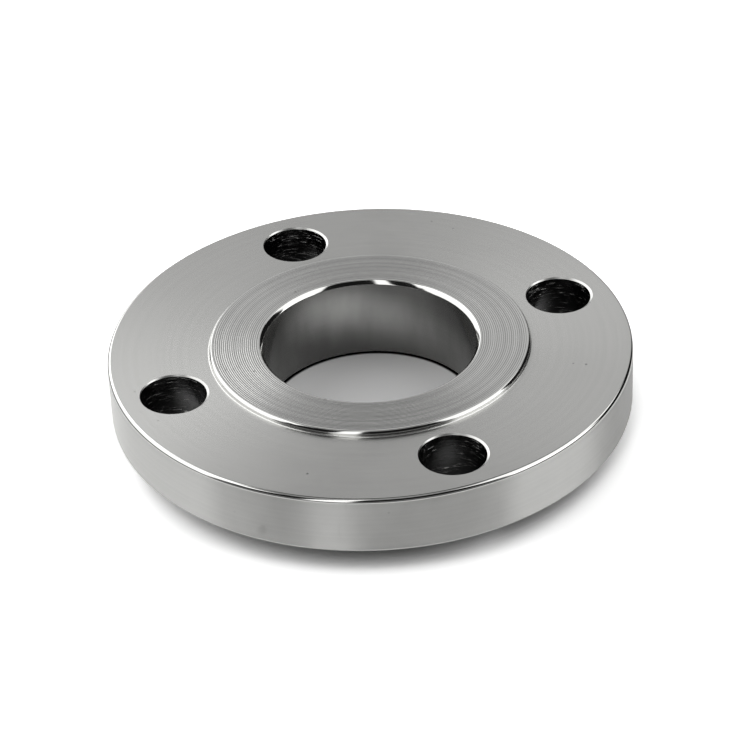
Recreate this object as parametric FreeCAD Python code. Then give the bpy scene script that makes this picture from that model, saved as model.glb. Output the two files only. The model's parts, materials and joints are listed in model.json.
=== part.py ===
import FreeCAD, Part
import math
import os

# A slip-on pipe flange with a raised gasket face, turned from one stainless steel forging.
# The pipe's axis is Z and the gasket face looks up. The origin is the centre of the hub's
# end face, where the pipe goes in. Lengths are in millimetres and angles in degrees.

# Sizes that the flange standard sets. The last two place the bolt circle, 120.65 across,
# and the raised face, 92.1 across, so that the holes stay clear of the rim and of the step.
FLANGE_DIAMETER = 152.4
PLATE_THICKNESS = 17.5
RAISED_FACE_HEIGHT = 1.6
LENGTH_THROUGH_HUB = 25.4
HUB_DIAMETER = 77.8
BORE_DIAMETER = 62.0
BOLT_HOLE_DIAMETER = 19.05
BOLT_HOLE_COUNT = 4
RIM_TO_HOLE_CENTRE = 15.875
HOLE_TO_RAISED_FACE = 4.75

# Edges that the lathe breaks at 45 degrees, and the hub's draft
HUB_TAPER_ANGLE = 4.0
HUB_ROOT_BEVEL = 2.0
HUB_END_BEVEL = 0.8
RIM_FRONT_BEVEL = 0.8
RIM_BACK_BEVEL = 0.6
STEP_BEVEL = 0.65
STEP_FOOT_BEVEL = 0.75
BORE_FRONT_BEVEL = 1.05
BORE_BACK_BEVEL = 0.5
BOLT_HOLE_BEVEL = 0.55

# The gasket face's concentric serrations, and the plain margins that they leave beside the
# step and the bore
GROOVE_PITCH = 0.7
GROOVE_DEPTH = 0.04
GROOVE_MARGIN = 0.4

# How far a cutter runs past the face that it opens
CUTTER_OVERRUN = 0.5

# Heights and radii that follow from the sizes above
GASKET_PLANE = LENGTH_THROUGH_HUB
PLATE_FRONT = GASKET_PLANE - RAISED_FACE_HEIGHT
PLATE_BACK = PLATE_FRONT - PLATE_THICKNESS
RIM_RADIUS = FLANGE_DIAMETER / 2
BORE_RADIUS = BORE_DIAMETER / 2
BOLT_CIRCLE_RADIUS = RIM_RADIUS - RIM_TO_HOLE_CENTRE
RAISED_FACE_RADIUS = BOLT_CIRCLE_RADIUS - BOLT_HOLE_DIAMETER / 2 - HOLE_TO_RAISED_FACE
STEP_RADIUS = RAISED_FACE_RADIUS + STEP_BEVEL
HUB_ROOT_RADIUS = HUB_DIAMETER / 2
HUB_END_RADIUS = HUB_ROOT_RADIUS - PLATE_BACK * math.tan(math.radians(HUB_TAPER_ANGLE))

ORIGIN = FreeCAD.Vector(0, 0, 0)
PIPE_AXIS = FreeCAD.Vector(0, 0, 1)


def section_point(radius, height):
    """A point of the half section, which lies in the XZ plane."""
    return FreeCAD.Vector(radius, 0, height)


def bevelled_outline(corners):
    """A closed wire through the corners, each a point and the size of the bevel that cuts it."""
    points = []
    for index, (corner, bevel) in enumerate(corners):
        if bevel == 0:
            points.append(corner)
            continue
        before = corners[index - 1][0]
        after = corners[(index + 1) % len(corners)][0]
        points.append(corner + (before - corner).normalize() * bevel)
        points.append(corner + (after - corner).normalize() * bevel)
    return Part.makePolygon(points + points[:1])


def groove_corners():
    """The crests and roots of the gasket face's grooves, from the step's side to the bore's."""
    outer_crest = RAISED_FACE_RADIUS - GROOVE_MARGIN
    band_width = outer_crest - (BORE_RADIUS + BORE_FRONT_BEVEL + GROOVE_MARGIN)
    groove_count = int(band_width / GROOVE_PITCH)
    corners = [(section_point(outer_crest, GASKET_PLANE), 0)]
    for groove in range(groove_count):
        root_radius = outer_crest - (groove + 0.5) * GROOVE_PITCH
        crest_radius = outer_crest - (groove + 1) * GROOVE_PITCH
        corners.append((section_point(root_radius, GASKET_PLANE - GROOVE_DEPTH), 0))
        corners.append((section_point(crest_radius, GASKET_PLANE), 0))
    return corners


def turned_blank():
    """All that the lathe makes: hub, plate, raised face with its grooves, and bore."""
    hub_and_plate = [
        (section_point(BORE_RADIUS, 0), BORE_BACK_BEVEL),
        (section_point(HUB_END_RADIUS, 0), HUB_END_BEVEL),
        (section_point(HUB_ROOT_RADIUS, PLATE_BACK), HUB_ROOT_BEVEL),
        (section_point(RIM_RADIUS, PLATE_BACK), RIM_BACK_BEVEL),
        (section_point(RIM_RADIUS, PLATE_FRONT), RIM_FRONT_BEVEL),
    ]
    step = [
        (section_point(STEP_RADIUS, PLATE_FRONT), STEP_FOOT_BEVEL),
        (section_point(STEP_RADIUS, GASKET_PLANE), STEP_BEVEL),
    ]
    bore_mouth = [(section_point(BORE_RADIUS, GASKET_PLANE), BORE_FRONT_BEVEL)]
    half_section = bevelled_outline(hub_and_plate + step + groove_corners() + bore_mouth)
    return Part.Face(half_section).revolve(ORIGIN, PIPE_AXIS, 360)


def bolt_hole_cutter():
    """One bolt hole with its two broken edges, at its place on the bolt circle."""
    radius = BOLT_HOLE_DIAMETER / 2
    mouth_radius = radius + BOLT_HOLE_BEVEL + CUTTER_OVERRUN
    mouth_depth = BOLT_HOLE_BEVEL + CUTTER_OVERRUN
    low = PLATE_BACK - CUTTER_OVERRUN
    high = PLATE_FRONT + CUTTER_OVERRUN
    half_section = Part.makePolygon([
        section_point(0, low),
        section_point(mouth_radius, low),
        section_point(radius, low + mouth_depth),
        section_point(radius, high - mouth_depth),
        section_point(mouth_radius, high),
        section_point(0, high),
        section_point(0, low),
    ])
    cutter = Part.Face(half_section).revolve(ORIGIN, PIPE_AXIS, 360)
    cutter.translate(FreeCAD.Vector(BOLT_CIRCLE_RADIUS, 0, 0))
    return cutter


def bolt_hole_cutters():
    """The ring of bolt holes, which straddles the X and Y axes."""
    cutters = []
    for hole in range(BOLT_HOLE_COUNT):
        cutter = bolt_hole_cutter()
        cutter.rotate(ORIGIN, PIPE_AXIS, 360 / BOLT_HOLE_COUNT * (hole + 0.5))
        cutters.append(cutter)
    return cutters


def flange():
    """The finished flange: the turned blank with its bolt holes drilled."""
    return turned_blank().cut(bolt_hole_cutters())


os.makedirs("parts", exist_ok=True)
finished = flange()
finished.exportStep("parts/flange.step")
print("flange: solids", len(finished.Solids), "valid", finished.isValid())
print("volume in cubic centimetres", round(finished.Volume / 1000, 2))
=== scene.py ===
import json
import math
from collections import namedtuple

import bmesh
import bpy
from bpy.props import FloatProperty, FloatVectorProperty, IntProperty, PointerProperty
from mathutils import Matrix, Vector


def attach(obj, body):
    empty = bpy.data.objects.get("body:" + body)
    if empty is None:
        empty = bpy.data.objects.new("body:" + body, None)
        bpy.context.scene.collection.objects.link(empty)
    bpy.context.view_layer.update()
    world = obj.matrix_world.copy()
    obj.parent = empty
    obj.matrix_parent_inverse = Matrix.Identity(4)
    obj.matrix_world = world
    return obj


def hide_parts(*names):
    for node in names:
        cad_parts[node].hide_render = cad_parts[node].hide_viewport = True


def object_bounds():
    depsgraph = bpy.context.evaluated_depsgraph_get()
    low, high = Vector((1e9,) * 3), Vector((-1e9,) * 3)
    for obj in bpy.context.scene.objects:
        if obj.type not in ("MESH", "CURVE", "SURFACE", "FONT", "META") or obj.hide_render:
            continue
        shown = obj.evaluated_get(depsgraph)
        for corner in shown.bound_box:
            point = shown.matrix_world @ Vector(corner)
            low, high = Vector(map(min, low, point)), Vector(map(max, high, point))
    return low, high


bl_info = {
    "name": "Slip-on pipe flange",
    "version": (1, 0, 0),
    "blender": (4, 5, 0),
    "location": "3D View > Sidebar > Flange",
    "description": "Turns, drills and finishes a stainless steel pipe flange, and lights it",
    "category": "Object",
}

MILLIMETRE = 0.001
MICROMETRE = 1e-6

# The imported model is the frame. Its box and its mounts give the flange's main sizes.
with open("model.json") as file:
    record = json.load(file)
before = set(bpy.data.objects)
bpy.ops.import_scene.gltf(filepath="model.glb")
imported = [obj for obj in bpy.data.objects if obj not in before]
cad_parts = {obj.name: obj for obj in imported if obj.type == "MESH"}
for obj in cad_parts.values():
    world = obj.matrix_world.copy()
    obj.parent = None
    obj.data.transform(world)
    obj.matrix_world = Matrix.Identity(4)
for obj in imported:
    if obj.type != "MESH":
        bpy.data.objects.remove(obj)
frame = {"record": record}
CAD_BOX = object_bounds()
MOUNTS = {mount["name"]: mount for mount in frame["record"]["mounts"]}

RIM_RADIUS = CAD_BOX[1].x
GASKET_PLANE = CAD_BOX[1].z
PLATE_BACK = MOUNTS["nut_face"]["pos_m"][2]
BORE_RADIUS = MOUNTS["pipe_bore"]["dims"]["r_mm"] * MILLIMETRE
BOLT_CIRCLE_RADIUS = MOUNTS["flange_bolts"]["dims"]["pcd_mm"] / 2 * MILLIMETRE
BOLT_HOLE_RADIUS = MOUNTS["flange_bolts"]["dims"]["hole_r_mm"] * MILLIMETRE
BOLT_HOLE_COUNT = MOUNTS["flange_bolts"]["dims"]["count"]

# The camera stands where the photograph was taken from. Angles are in degrees, and an
# azimuth of 0 looks along +Y.
CAMERA_AZIMUTH = 24.03
CAMERA_ELEVATION = 34.29
CAMERA_ROLL = -2.45
CAMERA_DISTANCE = 0.88425
CAMERA_AIM = Vector((0.003653, -0.005422, 0.017126))
CAMERA_LENS = 146.56
SENSOR_WIDTH = 36.0

# The bolt holes' edges were broken by hand, a little deeper towards one side: the azimuth
# from +X of that side, and how much the cut leans to it
DEBURR_AZIMUTH = 30.0
DEBURR_LEAN = 0.6

# How far a cutter runs past the face that it opens
CUTTER_OVERRUN = 0.5 * MILLIMETRE

# How finely the turned and drilled surfaces are divided, and the sharpest angle in degrees
# over which their shading runs on
TURNING_STEPS = 256
HOLE_STEPS = 96
STEPS_IN_GROOVE = 6
ROUND_SEGMENTS = 10
WEAR_SEGMENTS = 4
SMOOTH_ANGLE = 14.0

# The narrow strip of a flat that lies beside a round and keeps the flat's shading even
HOLDING_STRIP = 0.1 * MILLIMETRE

# Points nearer than the first are one point, and a face lies on a plane, or on a round wall,
# where its middle is nearer than the other two. The last is the widest, because the middle
# of a flat facet lies a little inside the wall.
SAME_POINT = 1e-6
ON_PLANE = 1e-5
ON_WALL = 1e-4

# How far outside a bolt hole's wall its broken edge can reach
HOLE_EDGE_REACH = 1.5 * MILLIMETRE

# The upward part of a normal: at least this on a flat, at least this on a face that looks
# up at all, and at most this on an upright wall
FLAT = 0.999
FACING_UP = 0.9
UPRIGHT = 0.05


class FlangeSizes(bpy.types.PropertyGroup):
    """Sizes of the worked edges and of the gasket face."""

    raised_face_radius: FloatProperty(
        name="Raised face radius",
        description="Radius of the raised face's flat, inside the bevel of its step",
        default=0.04605,
        unit="LENGTH",
    )
    raised_face_height: FloatProperty(
        name="Raised face height",
        description="How far the raised face stands above the plate",
        default=0.0016,
        unit="LENGTH",
    )
    step_bevel: FloatProperty(
        name="Step bevel",
        description="Bevel on the top edge of the raised face's step",
        default=0.00065,
        unit="LENGTH",
    )
    step_fillet: FloatProperty(
        name="Step fillet",
        description="Radius of the fillet at the foot of the step",
        default=0.00035,
        unit="LENGTH",
    )
    rim_round: FloatProperty(
        name="Rim round",
        description="Radius of the round on the rim's front edge",
        default=0.0011,
        unit="LENGTH",
    )
    rim_back_round: FloatProperty(
        name="Rim back round",
        description="Radius of the round on the rim's back edge",
        default=0.0008,
        unit="LENGTH",
    )
    bore_bevel: FloatProperty(
        name="Bore bevel",
        description="Bevel at the bore's mouth in the gasket face",
        default=0.00105,
        unit="LENGTH",
    )
    bore_back_bevel: FloatProperty(
        name="Bore back bevel",
        description="Bevel at the bore's mouth in the hub's end",
        default=0.0005,
        unit="LENGTH",
    )
    hub_radius: FloatProperty(
        name="Hub radius",
        description="Radius of the hub where it leaves the plate",
        default=0.0389,
        unit="LENGTH",
    )
    hub_taper: FloatProperty(
        name="Hub taper",
        description="How much the hub's radius shrinks towards its end",
        default=0.00044,
        unit="LENGTH",
    )
    hub_fillet: FloatProperty(
        name="Hub fillet",
        description="Radius of the fillet between hub and plate",
        default=0.0025,
        unit="LENGTH",
    )
    hub_bevel: FloatProperty(
        name="Hub bevel",
        description="Bevel on the hub's end",
        default=0.0008,
        unit="LENGTH",
    )
    hole_bevel: FloatProperty(
        name="Hole bevel",
        description="Bevel at both mouths of each bolt hole",
        default=0.0004,
        unit="LENGTH",
    )
    groove_pitch: FloatProperty(
        name="Groove pitch",
        description="Distance between the gasket face's concentric grooves",
        default=0.0006,
        unit="LENGTH",
    )
    groove_depth: FloatProperty(
        name="Groove depth",
        description="Depth of the gasket face's grooves",
        default=0.000032,
        precision=6,
        unit="LENGTH",
    )
    groove_count: IntProperty(
        name="Grooves",
        description="Number of concentric grooves on the gasket face",
        default=22,
    )
    edge_wear: FloatProperty(
        name="Edge wear",
        description="How far use has rounded the edges of the bevels",
        default=0.0002,
        precision=6,
        unit="LENGTH",
    )


class SteelLook(bpy.types.PropertyGroup):
    """Colours of the steel's surfaces, how far dirt covers the pits, and painted shade in the
    grooves' roots.
    """

    bright: FloatVectorProperty(
        name="Bright steel",
        description="Reflection colour of the cut steel",
        default=(0.60, 0.60, 0.585),
        subtype="COLOR",
    )
    dull: FloatVectorProperty(
        name="Dull steel",
        description="Reflection colour where the steel is smudged or rubbed",
        default=(0.50, 0.50, 0.49),
        subtype="COLOR",
    )
    serrated: FloatVectorProperty(
        name="Serrated steel",
        description="Reflection colour of the gasket face between the roots of its grooves",
        default=(0.69, 0.69, 0.675),
        subtype="COLOR",
    )
    stained: FloatVectorProperty(
        name="Stained steel",
        description="Reflection colour of the stains that run down the bore",
        default=(0.32, 0.32, 0.315),
        subtype="COLOR",
    )
    # The bolt holes' walls are darkened far below the steel's own colour with painted shade,
    # which stands for the shade inside the holes
    drilled: FloatVectorProperty(
        name="Drilled steel in painted shade",
        description="Reflection colour of the bolt holes' walls, darkened by painted shade",
        default=(0.12, 0.12, 0.12),
        subtype="COLOR",
    )
    # One colour serves for the dirt in the pits and for the painted shade in the roots of the
    # grooves, which stands for the shade that falls in the grooves
    grime_and_root_shade: FloatVectorProperty(
        name="Grime",
        description="Colour of the dirt in pits, and of the shade painted into the roots of the grooves",
        default=(0.10, 0.10, 0.10),
        subtype="COLOR",
    )
    # How dark the painted shade in the roots of the grooves is
    shade_in_roots: FloatProperty(
        name="Painted shade in the roots",
        description="How much the grime covers the roots of the grooves",
        default=0.55,
    )
    in_pits: FloatProperty(
        name="Grime in the pits",
        description="How much the grime covers the pits",
        default=0.6,
    )


def plate_front(sizes):
    """The height of the plate's front face, which the raised face stands on."""
    return GASKET_PLANE - sizes.raised_face_height


def hole_centre(hole, height=0):
    """The middle of a bolt hole at a height. The ring of holes straddles the X and Y axes."""
    turn = math.tau * (hole + 0.5) / BOLT_HOLE_COUNT
    return BOLT_CIRCLE_RADIUS * math.cos(turn), BOLT_CIRCLE_RADIUS * math.sin(turn), height


def distance_from_axis(point):
    """How far a point lies from the flange's axis."""
    return math.hypot(point.x, point.y)


def select_in_edit(piece, kind, chosen):
    """Selects those vertices, edges or faces of the piece in edit mode that are chosen."""
    bpy.ops.mesh.select_mode(type=kind)
    bpy.ops.mesh.select_all(action="DESELECT")
    mesh = bmesh.from_edit_mesh(piece.data)
    elements = {"VERT": mesh.verts, "EDGE": mesh.edges, "FACE": mesh.faces}[kind]
    for element in elements:
        if chosen(element):
            element.select_set(True)
    mesh.select_flush_mode()
    bmesh.update_edit_mesh(piece.data)


# A point of the half section: where it is, and the size and the segments of its worked edge.
# One segment makes a bevel, and more make a round.
Corner = namedtuple("Corner", "radius height size segments", defaults=(0, 1))


def lies_at(corner, reach=SAME_POINT):
    """A test for a vertex of the half section that lies at the corner, or within reach."""
    place = Vector((corner.radius, 0, corner.height))
    return lambda vertex: (vertex.co - place).length < reach


def serrated_band(sizes):
    """The radii of the first and the last crest, with a plain margin beside each."""
    bore_mouth = BORE_RADIUS + sizes.bore_bevel
    width = sizes.groove_pitch * sizes.groove_count
    margin = (sizes.raised_face_radius - bore_mouth - width) / 2
    return bore_mouth + margin, sizes.raised_face_radius - margin


def section_corners(sizes):
    """The half section's corners: gasket face, step, plate, rim, back, hub and bore."""
    first_crest, last_crest = serrated_band(sizes)
    front = plate_front(sizes)
    step_radius = sizes.raised_face_radius + sizes.step_bevel
    rim_strip = sizes.rim_round + HOLDING_STRIP
    back_strip = sizes.rim_back_round + HOLDING_STRIP
    return [
        Corner(BORE_RADIUS, GASKET_PLANE, sizes.bore_bevel),
        Corner(first_crest, GASKET_PLANE),
        Corner(last_crest, GASKET_PLANE),
        Corner(step_radius, GASKET_PLANE, sizes.step_bevel),
        Corner(step_radius, front, sizes.step_fillet, ROUND_SEGMENTS),
        Corner(step_radius + sizes.step_fillet + HOLDING_STRIP, front),
        Corner(RIM_RADIUS - rim_strip, front),
        Corner(RIM_RADIUS, front, sizes.rim_round, ROUND_SEGMENTS),
        Corner(RIM_RADIUS, front - rim_strip),
        Corner(RIM_RADIUS, PLATE_BACK + back_strip),
        Corner(RIM_RADIUS, PLATE_BACK, sizes.rim_back_round, ROUND_SEGMENTS),
        Corner(RIM_RADIUS - back_strip, PLATE_BACK),
        Corner(sizes.hub_radius + sizes.hub_fillet + HOLDING_STRIP, PLATE_BACK),
        Corner(sizes.hub_radius, PLATE_BACK, sizes.hub_fillet, ROUND_SEGMENTS),
        Corner(sizes.hub_radius - sizes.hub_taper, 0, sizes.hub_bevel),
        Corner(BORE_RADIUS, 0, sizes.bore_back_bevel),
    ]


def draw_section(name, corners):
    """Draws the half section's outline, from corner to corner, and closes it."""
    bpy.ops.object.select_all(action="DESELECT")
    start = corners[0]
    bpy.ops.mesh.primitive_plane_add(
        size=MILLIMETRE, location=(start.radius, 0, start.height)
    )
    piece = bpy.context.object
    piece.name = name
    piece.data.name = name
    bpy.ops.object.transform_apply(location=True)
    bpy.ops.object.mode_set(mode="EDIT")
    bpy.ops.mesh.merge(type="CENTER")
    for here, there in zip(corners, corners[1:]):
        move = (there.radius - here.radius, 0, there.height - here.height)
        bpy.ops.mesh.extrude_region_move(TRANSFORM_OT_translate={"value": move})
    at_start = lies_at(start)
    at_end = lies_at(corners[-1])
    select_in_edit(piece, "VERT", lambda vertex: at_start(vertex) or at_end(vertex))
    bpy.ops.mesh.edge_face_add()
    return piece


def work_corners(piece, corners, edge_wear):
    """Rounds or bevels the corners of the outline. Wear rounds the edges of a bevel."""
    for corner in corners:
        if not corner.size:
            continue
        select_in_edit(piece, "VERT", lies_at(corner))
        bpy.ops.mesh.bevel(offset=corner.size, segments=corner.segments, affect="VERTICES")
        if corner.segments == 1:
            just_past_bevel = 1.01 * corner.size
            select_in_edit(piece, "VERT", lies_at(corner, just_past_bevel))
            bpy.ops.mesh.bevel(offset=edge_wear, segments=WEAR_SEGMENTS, affect="VERTICES")


def cut_serrations(piece, sizes):
    """Cuts the round-bottomed grooves into the outline of the gasket face."""
    first_crest, last_crest = serrated_band(sizes)
    steps = sizes.groove_count * STEPS_IN_GROOVE
    step = (last_crest - first_crest) / steps

    def on_top(vertex):
        return abs(vertex.co.z - GASKET_PLANE) < SAME_POINT

    def spans_band(edge):
        ends = sorted(vertex.co.x for vertex in edge.verts)
        from_first = ends[0] < first_crest + SAME_POINT
        to_last = ends[1] > last_crest - SAME_POINT
        return all(on_top(vertex) for vertex in edge.verts) and from_first and to_last

    select_in_edit(piece, "EDGE", spans_band)
    bpy.ops.mesh.subdivide(number_cuts=sizes.groove_count - 1)
    bpy.ops.mesh.subdivide(number_cuts=STEPS_IN_GROOVE - 1)
    for phase in range(1, STEPS_IN_GROOVE):

        def in_phase(vertex):
            place = (vertex.co.x - first_crest) / step
            inside = 0.5 < place < steps - 0.5
            return on_top(vertex) and inside and round(place) % STEPS_IN_GROOVE == phase

        select_in_edit(piece, "VERT", in_phase)
        across = 2 * phase / STEPS_IN_GROOVE - 1
        sink = sizes.groove_depth * (1 - across**2)
        bpy.ops.transform.translate(value=(0, 0, -sink))


class FLANGE_OT_turn_blank(bpy.types.Operator):
    """Turn the flange's hub, plate, rim, raised face and bore on one half section"""

    bl_idname = "flange.turn_blank"
    bl_label = "Turn the blank"

    def execute(self, context):
        sizes = context.scene.flange_sizes
        corners = section_corners(sizes)
        piece = draw_section("machined_flange", corners)
        work_corners(piece, corners, sizes.edge_wear)
        cut_serrations(piece, sizes)
        bpy.ops.mesh.select_all(action="SELECT")
        bpy.ops.mesh.spin(
            steps=TURNING_STEPS, angle=math.tau, center=(0, 0, 0), axis=(0, 0, 1)
        )
        bpy.ops.mesh.select_all(action="SELECT")
        bpy.ops.mesh.remove_doubles(threshold=SAME_POINT)
        bpy.ops.mesh.normals_make_consistent(inside=False)
        bpy.ops.object.mode_set(mode="OBJECT")
        return {"FINISHED"}


class FLANGE_OT_drill_bolt_holes(bpy.types.Operator):
    """Drill the ring of bolt holes and break both edges of each"""

    bl_idname = "flange.drill_bolt_holes"
    bl_label = "Drill the bolt holes"

    def execute(self, context):
        sizes = context.scene.flange_sizes
        blank = context.scene.objects["machined_flange"]
        for hole in range(BOLT_HOLE_COUNT):
            cutter = self.cutter(hole, PLATE_BACK, plate_front(sizes), sizes.hole_bevel)
            drill = blank.modifiers.new("bolt_hole", "BOOLEAN")
            drill.operation = "DIFFERENCE"
            drill.solver = "EXACT"
            drill.object = cutter
            bpy.ops.object.select_all(action="DESELECT")
            context.view_layer.objects.active = blank
            bpy.ops.object.modifier_apply(modifier=drill.name)
            bpy.data.objects.remove(cutter)
        blank.select_set(True)
        bpy.ops.object.shade_smooth_by_angle(angle=math.radians(SMOOTH_ANGLE))
        return {"FINISHED"}

    def cutter(self, hole, low, high, bevel):
        """A drill of the hole's size that widens at both ends for the broken edges."""
        bpy.ops.object.select_all(action="DESELECT")
        bpy.ops.mesh.primitive_cylinder_add(
            vertices=HOLE_STEPS,
            radius=BOLT_HOLE_RADIUS,
            depth=high - low - 2 * bevel,
            location=hole_centre(hole, (low + high) / 2),
        )
        cutter = bpy.context.object
        reach = bevel + CUTTER_OVERRUN
        flare = (BOLT_HOLE_RADIUS + reach) / BOLT_HOLE_RADIUS
        lean = Matrix.Rotation(math.radians(DEBURR_AZIMUTH), 3, "Z").col[0]
        bpy.ops.object.mode_set(mode="EDIT")
        for side in (1, -1):
            select_in_edit(cutter, "FACE", lambda face: face.normal.z * side > FACING_UP)
            move = DEBURR_LEAN * reach * lean
            move.z = side * reach
            bpy.ops.mesh.extrude_region_move(TRANSFORM_OT_translate={"value": move})
            bpy.ops.transform.resize(value=(flare, flare, 1))
        bpy.ops.object.mode_set(mode="OBJECT")
        return cutter


def plug(tree, socket, value):
    """Links a socket to the value where that is a socket too, and sets it otherwise."""
    if isinstance(value, bpy.types.NodeSocket):
        tree.links.new(value, socket)
    else:
        socket.default_value = value


def math_node(tree, operation, first, second=0.0, third=0.0):
    """A Math node on values or sockets, and returns its output."""
    node = tree.nodes.new("ShaderNodeMath")
    node.operation = operation
    for socket, value in zip(node.inputs, (first, second, third)):
        plug(tree, socket, value)
    return node.outputs[0]


def ramp(tree, value, low, high, start=0.0, end=1.0):
    """A smooth Map Range of the value from low..high to start..end."""
    node = tree.nodes.new("ShaderNodeMapRange")
    node.interpolation_type = "SMOOTHSTEP"
    names = ("Value", "From Min", "From Max", "To Min", "To Max")
    for name, number in zip(names, (value, low, high, start, end)):
        plug(tree, node.inputs[name], number)
    return node.outputs["Result"]


def noise(tree, dimensions, place, scale, detail=2.0, roughness=0.5):
    """A Noise texture over a vector, or over one number, and returns its value."""
    node = tree.nodes.new("ShaderNodeTexNoise")
    node.noise_dimensions = dimensions
    node.inputs["Scale"].default_value = scale
    node.inputs["Detail"].default_value = detail
    node.inputs["Roughness"].default_value = roughness
    tree.links.new(place, node.inputs["W" if dimensions == "1D" else "Vector"])
    return node.outputs["Fac"]


def stretched(tree, place, scale, turn=0.0, shift=0.0):
    """A place that is stretched, turned about the axis and shifted by a Mapping node."""
    node = tree.nodes.new("ShaderNodeMapping")
    node.inputs["Location"].default_value = (shift, shift, shift)
    node.inputs["Rotation"].default_value = (0, 0, turn)
    node.inputs["Scale"].default_value = scale
    tree.links.new(place, node.inputs["Vector"])
    return node.outputs["Vector"]


def mixed_colour(tree, first, second, share):
    """A mix of two colours, where share says how much the second one takes."""
    node = tree.nodes.new("ShaderNodeMix")
    node.data_type = "RGBA"
    plug(tree, node.inputs["A"], first)
    plug(tree, node.inputs["B"], second)
    plug(tree, node.inputs["Factor"], share)
    return node.outputs["Result"]


def group_node(tree, group, values):
    """A node group at work in a tree, with its inputs linked to the values or set to them."""
    node = tree.nodes.new("ShaderNodeGroup")
    node.node_tree = group
    for name, value in values.items():
        plug(tree, node.inputs[name], value)
    return node


def new_group(name, inputs, outputs):
    """An empty node group whose inputs and outputs are numbers, apart from a Place."""
    tree = bpy.data.node_groups.new(name, "ShaderNodeTree")
    for side, labels in (("INPUT", inputs), ("OUTPUT", outputs)):
        for label in labels:
            kind = "NodeSocketVector" if label == "Place" else "NodeSocketFloat"
            tree.interface.new_socket(label, in_out=side, socket_type=kind)
    given = tree.nodes.new("NodeGroupInput").outputs
    result = tree.nodes.new("NodeGroupOutput").inputs
    return tree, given, result


# How far apart feed marks and chatter lie, and how closely torn patches lie: they are ten
# times as wide as they are high
FEED_SPACING = 0.3 * MILLIMETRE
CHATTER_SPACING = 1.6 * MILLIMETRE
TORN_PER_METRE = (280.0, 280.0, 2800.0)

# What handling leaves: how closely smudges, pits and the patches that have pits lie, how
# fine scratches are along and across their run, and the turn and the seed of each set
SMUDGES_PER_METRE = 38.0
PITS_PER_METRE = 240.0
PITTED_PATCHES_PER_METRE = 55.0
SCRATCHES_PER_METRE = (60.0, 2600.0, 60.0)
SCRATCH_SETS = ((0.4, 3.1), (1.35, 7.7), (2.3, 12.9))

# The values of its noise between which each mark fades in
CHATTER_EDGE = (0.35, 0.65)
TORN_EDGE = (0.57, 0.74)
SMUDGE_EDGE = (0.42, 0.72)
SCRATCH_EDGE = (0.74, 0.80)
PITTED_EDGE = (0.58, 0.66)

# Where the dirt in a pit and the painted shade in a groove's root fade out: from a pit's middle
# as a share of the pits' spacing, and from a groove's root as a share of the pitch
PIT_EDGE = (0.05, 0.12)
ROOT_EDGE = (0.08, 0.22)


def turning_marks_group():
    """Parallel tool marks: their height, the chatter's tone and a mask of torn patches."""
    tree, given, result = new_group(
        "turning_marks",
        ("Across", "Place", "Feed", "Chatter", "Tearing"),
        ("Height", "Tone", "Torn"),
    )
    feed = noise(tree, "1D", given["Across"], 1 / FEED_SPACING, detail=1.0)
    chatter = noise(tree, "1D", given["Across"], 1 / CHATTER_SPACING)
    patches = noise(tree, "3D", stretched(tree, given["Place"], TORN_PER_METRE), 1.0)
    torn = ramp(tree, patches, *TORN_EDGE)
    height = math_node(tree, "MULTIPLY", feed, given["Feed"])
    height = math_node(tree, "MULTIPLY_ADD", chatter, given["Chatter"], height)
    height = math_node(tree, "MULTIPLY_ADD", torn, given["Tearing"], height)
    tree.links.new(height, result["Height"])
    tree.links.new(torn, result["Torn"])
    tree.links.new(ramp(tree, chatter, *CHATTER_EDGE), result["Tone"])
    return tree


def groove_roots_group():
    """The roots of evenly spaced grooves along the radius, as a mask from 0 to 1 for painted
    shade.
    """
    tree, given, result = new_group(
        "groove_roots", ("Radius", "First Crest", "Pitch", "Count"), ("Mask",)
    )
    grooves = math_node(tree, "SUBTRACT", given["Radius"], given["First Crest"])
    grooves = math_node(tree, "DIVIDE", grooves, given["Pitch"])
    after_first = math_node(tree, "GREATER_THAN", grooves, 0.0)
    before_last = math_node(tree, "LESS_THAN", grooves, given["Count"])
    within = math_node(tree, "MULTIPLY", after_first, before_last)
    from_root = math_node(tree, "SUBTRACT", math_node(tree, "FRACT", grooves), 0.5)
    root = ramp(tree, math_node(tree, "ABSOLUTE", from_root), *ROOT_EDGE, 1.0, 0.0)
    tree.links.new(math_node(tree, "MULTIPLY", root, within), result["Mask"])
    return tree


def handling_wear_group():
    """Smudges, short scratches and pits that handling leaves, as masks from 0 to 1."""
    tree, given, result = new_group("handling_wear", ("Place",), ("Smudge", "Scratch", "Pit"))
    place = given["Place"]
    smudge = noise(tree, "3D", place, SMUDGES_PER_METRE, detail=4.0, roughness=0.6)
    tree.links.new(ramp(tree, smudge, *SMUDGE_EDGE), result["Smudge"])
    scratches = 0.0
    for turn, seed in SCRATCH_SETS:
        run = stretched(tree, place, SCRATCHES_PER_METRE, turn, seed)
        line = ramp(tree, noise(tree, "3D", run, 1.0, detail=1.0), *SCRATCH_EDGE)
        scratches = math_node(tree, "MAXIMUM", line, scratches)
    tree.links.new(scratches, result["Scratch"])
    speck = tree.nodes.new("ShaderNodeTexVoronoi")
    speck.inputs["Scale"].default_value = PITS_PER_METRE
    tree.links.new(place, speck.inputs["Vector"])
    near = ramp(tree, speck.outputs["Distance"], *PIT_EDGE, 1.0, 0.0)
    rare = ramp(tree, noise(tree, "3D", place, PITTED_PATCHES_PER_METRE), *PITTED_EDGE)
    tree.links.new(math_node(tree, "MULTIPLY", near, rare), result["Pit"])
    return tree


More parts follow.
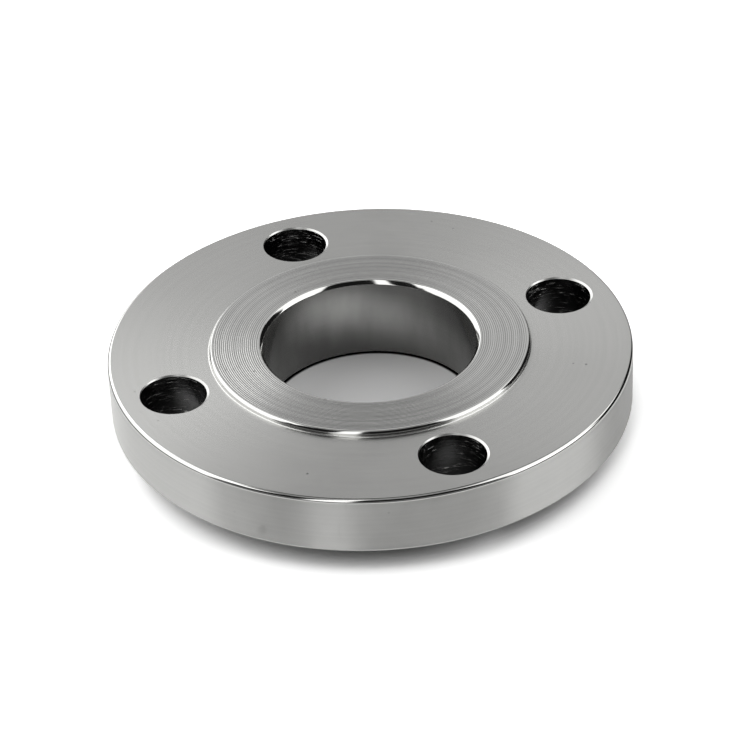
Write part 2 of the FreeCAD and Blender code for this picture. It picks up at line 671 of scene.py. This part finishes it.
# A finish of the steel. Colour and stain name its two colours in SteelLook. Its tool marks
# run across the radius or the height. The depths of feed marks, chatter, torn patches,
# scratches and pits are in micrometres. Wear roughens the smudges. Dull and streaks say how
# much of the stain's colour smudges and tool marks take, and run squeezes the wear along
# the axis, so that below 1 it runs up and down.
Finish = namedtuple(
    "Finish",
    "name roughness anisotropy across colour stain feed chatter tearing scratches pits wear"
    " dull streaks run",
    defaults=(0, "RADIUS", "bright", "dull", 0, 0, 0, 0, 0, 0, 0, 0, 1),
)
FINISHES = (
    Finish(
        "turned_plate", 0.25, 0.8,
        feed=0.5, chatter=0.5, scratches=0.05, pits=6, wear=0.02, dull=0.15, streaks=0.11,
    ),
    Finish(
        "serrated_face", 0.15, 0.3, colour="serrated",
        pits=4, wear=0.02, dull=0.20, streaks=0.45,
    ),
    Finish(
        "turned_rim", 0.38, 1.0, "HEIGHT",
        feed=0.6, chatter=0.8, scratches=0.8, pits=3, wear=0.03, dull=0.30, streaks=0.20,
    ),
    Finish(
        "bored_wall", 0.14, 0.5, "HEIGHT", stain="stained",
        feed=0.6, chatter=1.2, pits=3, wear=0.06, dull=0.60, streaks=0.04, run=0.35,
    ),
    Finish(
        "broken_edge", 0.08, 0.2,
        feed=0.2, scratches=0.2, wear=0.02, dull=0.10, streaks=0.05,
    ),
    Finish(
        "deburred_edge", 0.32,
        feed=0.2, wear=0.04, dull=0.40, streaks=0.10,
    ),
    # The bolt holes' walls take the colour darkened with painted shade; their torn patches keep
    # the bright steel's colour
    Finish(
        "drilled_wall", 0.18, 0, "HEIGHT", colour="drilled",
        feed=12, chatter=30, tearing=60, pits=3, wear=0.10,
    ),
    Finish(
        "turned_back", 0.30, 0.6,
        feed=1, chatter=1, scratches=0.8, pits=4, wear=0.06, dull=0.50, streaks=0.25,
    ),
)

# How much a scratch that is a micrometre deep adds to the roughness
SCRATCH_ROUGHNESS = 0.1

# A quarter turn from the tangent that runs round the axis, so that reflections are drawn
# out across the tool marks
ACROSS_THE_MARKS = 0.25


def draw_out_reflection(tree, steel, anisotropy):
    """Draws the steel's reflections out across its tool marks."""
    steel.inputs["Anisotropic"].default_value = anisotropy
    steel.inputs["Anisotropic Rotation"].default_value = ACROSS_THE_MARKS
    if anisotropy:
        tangent = tree.nodes.new("ShaderNodeTangent")
        tangent.direction_type = "RADIAL"
        tangent.axis = "Z"
        tree.links.new(tangent.outputs["Tangent"], steel.inputs["Tangent"])


def place_on_flange(tree):
    """A place on the flange, its distance from the axis and its height."""
    place = tree.nodes.new("ShaderNodeTexCoord").outputs["Object"]
    parts = tree.nodes.new("ShaderNodeSeparateXYZ")
    tree.links.new(place, parts.inputs["Vector"])
    squares = math_node(tree, "MULTIPLY", parts.outputs["X"], parts.outputs["X"])
    squares = math_node(tree, "MULTIPLY_ADD", parts.outputs["Y"], parts.outputs["Y"], squares)
    return place, math_node(tree, "SQRT", squares), parts.outputs["Z"]


def steel_colour(tree, finish, look, marks, wear, roots):
    """The steel's colour, with its stains, its torn patches, dirt in its pits and painted shade
    in its grooves' roots.
    """
    colour = (*getattr(look, finish.colour), 1)
    stain = (*getattr(look, finish.stain), 1)
    share = math_node(tree, "MULTIPLY", marks["Tone"], finish.streaks)
    share = math_node(tree, "MULTIPLY_ADD", wear["Smudge"], finish.dull, share)
    tint = mixed_colour(tree, colour, stain, share)
    if finish.tearing:
        tint = mixed_colour(tree, tint, (*look.bright, 1), marks["Torn"])
    # Dirt darkens the pits, and painted shade darkens the roots of the grooves
    grime_and_shade = math_node(tree, "MULTIPLY", wear["Pit"], look.in_pits if finish.pits else 0.0)
    grime_and_shade = math_node(tree, "MULTIPLY_ADD", roots, look.shade_in_roots, grime_and_shade)
    return mixed_colour(tree, tint, (*look.grime_and_root_shade, 1), grime_and_shade)


def steel_roughness(tree, finish, wear):
    """The steel's roughness, which smudges and scratches raise."""
    rough = math_node(tree, "MULTIPLY_ADD", wear["Smudge"], finish.wear, finish.roughness)
    scratched = SCRATCH_ROUGHNESS * finish.scratches
    return math_node(tree, "MULTIPLY_ADD", wear["Scratch"], scratched, rough)


def steel_relief(tree, finish, marks, wear):
    """The normal that tool marks, scratches and pits give the steel."""
    height = marks["Height"]
    height = math_node(tree, "MULTIPLY_ADD", wear["Scratch"], -finish.scratches, height)
    height = math_node(tree, "MULTIPLY_ADD", wear["Pit"], -finish.pits, height)
    bump = tree.nodes.new("ShaderNodeBump")
    bump.inputs["Distance"].default_value = MICROMETRE
    bump.inputs["Strength"].default_value = 1.0
    tree.links.new(height, bump.inputs["Height"])
    return bump.outputs["Normal"]


def steel_material(finish, look, sizes, groups):
    """One finish of the steel: its tool marks, wear and reflection."""
    material = bpy.data.materials.new(finish.name)
    material.use_nodes = True
    tree = material.node_tree
    place, radius, height = place_on_flange(tree)
    tool_marks = {
        "Across": radius if finish.across == "RADIUS" else height,
        "Place": place,
        "Feed": finish.feed,
        "Chatter": finish.chatter,
        "Tearing": finish.tearing,
    }
    marks = group_node(tree, groups["marks"], tool_marks).outputs
    run = stretched(tree, place, (1, 1, finish.run))
    wear = group_node(tree, groups["wear"], {"Place": run}).outputs
    roots = 0.0
    # The gasket face gets painted shade in the roots of its grooves
    if finish.name == "serrated_face":
        grooves = {
            "Radius": radius,
            "First Crest": serrated_band(sizes)[0],
            "Pitch": sizes.groove_pitch,
            "Count": sizes.groove_count,
        }
        roots = group_node(tree, groups["roots"], grooves).outputs["Mask"]
    steel = tree.nodes["Principled BSDF"]
    steel.inputs["Metallic"].default_value = 1.0
    plug(tree, steel.inputs["Base Color"], steel_colour(tree, finish, look, marks, wear, roots))
    plug(tree, steel.inputs["Roughness"], steel_roughness(tree, finish, wear))
    plug(tree, steel.inputs["Normal"], steel_relief(tree, finish, marks, wear))
    draw_out_reflection(tree, steel, finish.anisotropy)
    return material


class FLANGE_OT_finish_steel(bpy.types.Operator):
    """Give each turned, bored, drilled and broken surface its own steel finish"""

    bl_idname = "flange.finish_steel"
    bl_label = "Finish the steel"

    def execute(self, context):
        look = context.scene.steel_look
        sizes = context.scene.flange_sizes
        piece = context.scene.objects["machined_flange"]
        groups = {
            "marks": turning_marks_group(),
            "wear": handling_wear_group(),
            "roots": groove_roots_group(),
        }
        for finish in FINISHES:
            piece.data.materials.append(steel_material(finish, look, sizes, groups))
        bpy.ops.object.select_all(action="DESELECT")
        context.view_layer.objects.active = piece
        piece.select_set(True)
        bpy.ops.object.mode_set(mode="EDIT")
        for name, belongs in self.surfaces(sizes).items():
            select_in_edit(piece, "FACE", belongs)
            piece.active_material_index = piece.data.materials.find(name)
            bpy.ops.object.material_slot_assign()
        bpy.ops.object.mode_set(mode="OBJECT")
        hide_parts("flange")
        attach(piece, "root")
        return {"FINISHED"}

    def surfaces(self, sizes):
        """For each finish, a test for the faces that have it. A later one takes over."""
        front = plate_front(sizes)
        step_radius = sizes.raised_face_radius + sizes.step_bevel

        def hole_distance(face):
            middle = face.calc_center_median()
            turn = math.atan2(middle.y, middle.x)
            nearest = math.floor(turn / math.tau * BOLT_HOLE_COUNT)
            return distance_from_axis(middle - Vector(hole_centre(nearest)))

        def height(face):
            return face.calc_center_median().z

        def radius(face):
            return distance_from_axis(face.calc_center_median())

        def upright(face):
            return abs(face.normal.z) < UPRIGHT

        def on_front(face):
            return face.normal.z > FLAT and abs(height(face) - front) < ON_PLANE

        def on_gasket_face(face):
            return face.normal.z > FACING_UP and height(face) > GASKET_PLANE - ON_WALL

        def on_rim(face):
            return upright(face) and radius(face) > RIM_RADIUS - ON_WALL

        def in_bore(face):
            return upright(face) and radius(face) < BORE_RADIUS + ON_WALL

        def at_step_foot(face):
            in_fillet = front < height(face) < front + sizes.step_fillet
            return in_fillet and radius(face) > step_radius

        def on_edge(face):
            in_front = height(face) > PLATE_BACK - ON_PLANE
            plain = on_gasket_face(face) or at_step_foot(face)
            return in_front and UPRIGHT < abs(face.normal.z) < FLAT and not plain

        def on_hole_edge(face):
            return on_edge(face) and hole_distance(face) < BOLT_HOLE_RADIUS + HOLE_EDGE_REACH

        def on_step(face):
            above = front < height(face) < GASKET_PLANE
            return upright(face) and above and radius(face) > sizes.raised_face_radius

        def in_hole(face):
            return upright(face) and hole_distance(face) < BOLT_HOLE_RADIUS + ON_WALL

        return {
            "turned_back": lambda face: True,
            "turned_plate": lambda face: on_front(face) or at_step_foot(face),
            "serrated_face": on_gasket_face,
            "turned_rim": on_rim,
            "bored_wall": in_bore,
            "broken_edge": lambda face: on_edge(face) or on_step(face),
            "deburred_edge": on_hole_edge,
            "drilled_wall": in_hole,
        }


# The studio seen from the flange. Azimuths are in degrees from the picture's right-hand
# side, turning towards the back. Low and high are elevations.
SoftBox = namedtuple("SoftBox", "name azimuth width low high strength")
SOFT_BOXES = (
    SoftBox("left_window", 153.0, 96.0, 5.0, 46.0, 1.75),
    SoftBox("left_ceiling", 161.0, 92.0, 46.0, 64.0, 2.00),
    SoftBox("front_strip", 250.3, 18.0, 10.0, 82.0, 1.77),
    SoftBox("right_window", 349.0, 46.0, 9.6, 31.0, 2.6),
    SoftBox("right_ceiling", 8.0, 84.0, 31.0, 69.0, 1.70),
    SoftBox("back_wall", 95.0, 79.0, 7.0, 47.0, 0.63),
    SoftBox("front_wall", 262.0, 130.0, -9.0, 20.0, 0.22),
    SoftBox("overhead", 0.0, 400.0, 68.0, 99.0, 0.40),
)

# Over how many degrees a soft box fades in at its edges, and the light of the dim room
EDGE_SOFTNESS = 5.0
DIM_ROOM = 0.01

# The floor's tone is a sum of fades. Each runs with the distance from its centre: it has
# its first tone up to near, and its last one from far on.
Fade = namedtuple("Fade", "centre near far first last")
FLANGE_AXIS = (0, 0, 0)
# Centres of the painted shadow round the flange and of the painted pool of light in the bore
SHADOW_CENTRE = (0.0028, -0.0014, 0)
POOL_CENTRE = (0.005, 0.008, 0)

# What the camera sees of the floor, with light and shadows painted on it: a painted dim light
# in the bore, a painted black shadow under the hub, a painted grey shadow under the plate, and
# white round it
SEEN_FLOOR = (
    Fade(FLANGE_AXIS, 0.0298, 0.0307, 0.72, 0),
    Fade(FLANGE_AXIS, 0.040, 0.045, 0, 0.26),
    Fade(SHADOW_CENTRE, 0.062, 0.077, 0, 1.54),
)

# What the steel mirrors, painted on the floor: a painted pool of light in the bore, the painted
# shadow under the plate, a pale ring round it, and a dark floor further out
MIRRORED_FLOOR = (
    Fade(POOL_CENTRE, 0.002, 0.026, 0.44, 0),
    Fade(SHADOW_CENTRE, 0.060, 0.077, 0.26, 1.12),
    Fade(FLANGE_AXIS, 0.12, 0.20, 0, -1.02),
)
FLOOR_SIZE = 12.0


def soft_box_group():
    """How much light a soft box sends from a direction, given in degrees."""
    tree, given, result = new_group(
        "soft_box",
        ("Azimuth", "Elevation", "Centre", "Half Width", "Low", "High", "Strength"),
        ("Light",),
    )
    turn = math_node(tree, "SUBTRACT", given["Azimuth"], given["Centre"])
    turn = math_node(tree, "WRAP", turn, 180.0, -180.0)
    turn = math_node(tree, "ABSOLUTE", turn)
    inside = math_node(tree, "SUBTRACT", given["Half Width"], turn)
    above = math_node(tree, "SUBTRACT", given["Elevation"], given["Low"])
    below = math_node(tree, "SUBTRACT", given["High"], given["Elevation"])
    half = EDGE_SOFTNESS / 2
    light = given["Strength"]
    for distance in (inside, above, below):
        light = math_node(tree, "MULTIPLY", light, ramp(tree, distance, -half, half))
    tree.links.new(light, result["Light"])
    return tree


def studio_world():
    """The room round the flange: dim, with soft boxes, and white where the camera sees it."""
    world = bpy.data.worlds.new("studio")
    world.use_nodes = True
    tree = world.node_tree
    tree.nodes.clear()
    direction = tree.nodes.new("ShaderNodeTexCoord").outputs["Generated"]
    parts = tree.nodes.new("ShaderNodeSeparateXYZ")
    tree.links.new(direction, parts.inputs["Vector"])
    azimuth = math_node(tree, "ARCTAN2", parts.outputs["Y"], parts.outputs["X"])
    azimuth = math_node(tree, "MULTIPLY", azimuth, math.degrees(1))
    azimuth = math_node(tree, "SUBTRACT", azimuth, CAMERA_AZIMUTH)
    elevation = math_node(tree, "ARCSINE", parts.outputs["Z"])
    elevation = math_node(tree, "MULTIPLY", elevation, math.degrees(1))
    group = soft_box_group()
    total = DIM_ROOM
    for box in SOFT_BOXES:
        settings = {
            "Azimuth": azimuth,
            "Elevation": elevation,
            "Centre": box.azimuth,
            "Half Width": box.width / 2,
            "Low": box.low,
            "High": box.high,
            "Strength": box.strength,
        }
        node = group_node(tree, group, settings)
        node.name = box.name
        total = math_node(tree, "ADD", node.outputs["Light"], total)
    camera_sees = tree.nodes.new("ShaderNodeLightPath").outputs["Is Camera Ray"]
    pick = tree.nodes.new("ShaderNodeMix")
    pick.data_type = "FLOAT"
    pick.inputs["B"].default_value = 1.0
    tree.links.new(camera_sees, pick.inputs["Factor"])
    tree.links.new(total, pick.inputs["A"])
    light = tree.nodes.new("ShaderNodeBackground")
    light.inputs["Color"].default_value = (1, 1, 1, 1)
    tree.links.new(pick.outputs["Result"], light.inputs["Strength"])
    output = tree.nodes.new("ShaderNodeOutputWorld")
    tree.links.new(light.outputs["Background"], output.inputs["Surface"])
    return world


def floor_shader(tree, place, fades):
    """A matt floor whose tone, the sum of the fades, holds painted light and shadows."""
    tone = 0.0
    for fade in fades:
        distance = tree.nodes.new("ShaderNodeVectorMath")
        distance.operation = "DISTANCE"
        distance.inputs[1].default_value = fade.centre
        tree.links.new(place, distance.inputs[0])
        run = distance.outputs["Value"]
        step = ramp(tree, run, fade.near, fade.far, fade.first, fade.last)
        tone = math_node(tree, "ADD", step, tone)
    matt = tree.nodes.new("ShaderNodeBsdfDiffuse")
    tree.links.new(tone, matt.inputs["Color"])
    return matt.outputs["BSDF"]


def floor_material():
    """A pale floor that the camera sees in one tone and the steel mirrors in another."""
    material = bpy.data.materials.new("pale_floor")
    material.use_nodes = True
    tree = material.node_tree
    tree.nodes.clear()
    place = tree.nodes.new("ShaderNodeTexCoord").outputs["Object"]
    pick = tree.nodes.new("ShaderNodeMixShader")
    path = tree.nodes.new("ShaderNodeLightPath")
    tree.links.new(path.outputs["Is Camera Ray"], pick.inputs["Fac"])
    tree.links.new(floor_shader(tree, place, MIRRORED_FLOOR), pick.inputs[1])
    tree.links.new(floor_shader(tree, place, SEEN_FLOOR), pick.inputs[2])
    output = tree.nodes.new("ShaderNodeOutputMaterial")
    tree.links.new(pick.outputs["Shader"], output.inputs["Surface"])
    return material


class FLANGE_OT_set_stage(bpy.types.Operator):
    """Lay the floor, light the studio and set up the camera"""

    bl_idname = "flange.set_stage"
    bl_label = "Set the stage"

    def execute(self, context):
        bpy.ops.object.select_all(action="DESELECT")
        bpy.ops.mesh.primitive_plane_add(size=FLOOR_SIZE, location=(0, 0, 0))
        floor = context.object
        floor.name = "floor"
        floor.data.materials.append(floor_material())
        context.scene.world = studio_world()
        context.scene.view_settings.view_transform = "Standard"
        self.place_camera(context)
        return {"FINISHED"}

    def place_camera(self, context):
        """Puts the camera at the photograph's place and angle."""
        bpy.ops.object.select_all(action="DESELECT")
        bpy.ops.object.camera_add()
        camera = context.object
        camera.name = "photo_camera"
        camera.data.lens = CAMERA_LENS
        camera.data.sensor_width = SENSOR_WIDTH
        turn = Matrix.Rotation(math.radians(CAMERA_AZIMUTH), 4, "Z")
        tilt = Matrix.Rotation(math.radians(90 - CAMERA_ELEVATION), 4, "X")
        roll = Matrix.Rotation(math.radians(CAMERA_ROLL), 4, "Z")
        back_off = Matrix.Translation((0, 0, CAMERA_DISTANCE))
        camera.matrix_world = Matrix.Translation(CAMERA_AIM) @ turn @ tilt @ roll @ back_off
        context.scene.camera = camera


class FLANGE_PT_panel(bpy.types.Panel):
    """Lists the steps that make the flange, and its sizes and colours"""

    bl_idname = "FLANGE_PT_panel"
    bl_label = "Pipe flange"
    bl_space_type = "VIEW_3D"
    bl_region_type = "UI"
    bl_category = "Flange"

    def draw(self, context):
        for operator in OPERATORS:
            self.layout.operator(operator.bl_idname)
        for group in (context.scene.flange_sizes, context.scene.steel_look):
            for name in group.bl_rna.properties.keys():
                if name not in ("rna_type", "name"):
                    self.layout.prop(group, name)


OPERATORS = (
    FLANGE_OT_turn_blank,
    FLANGE_OT_drill_bolt_holes,
    FLANGE_OT_finish_steel,
    FLANGE_OT_set_stage,
)
CLASSES = (FlangeSizes, SteelLook, *OPERATORS, FLANGE_PT_panel)


def register():
    """Registers the classes and hangs the settings on the scene."""
    for cls in CLASSES:
        bpy.utils.register_class(cls)
    bpy.types.Scene.flange_sizes = PointerProperty(type=FlangeSizes)
    bpy.types.Scene.steel_look = PointerProperty(type=SteelLook)


def unregister():
    """Takes the settings and the classes away again."""
    del bpy.types.Scene.flange_sizes
    del bpy.types.Scene.steel_look
    for cls in reversed(CLASSES):
        bpy.utils.unregister_class(cls)


def main():
    register()
    bpy.ops.flange.turn_blank()
    bpy.ops.flange.drill_bolt_holes()
    bpy.ops.flange.finish_steel()
    bpy.ops.flange.set_stage()


if __name__ == "__main__":
    main()
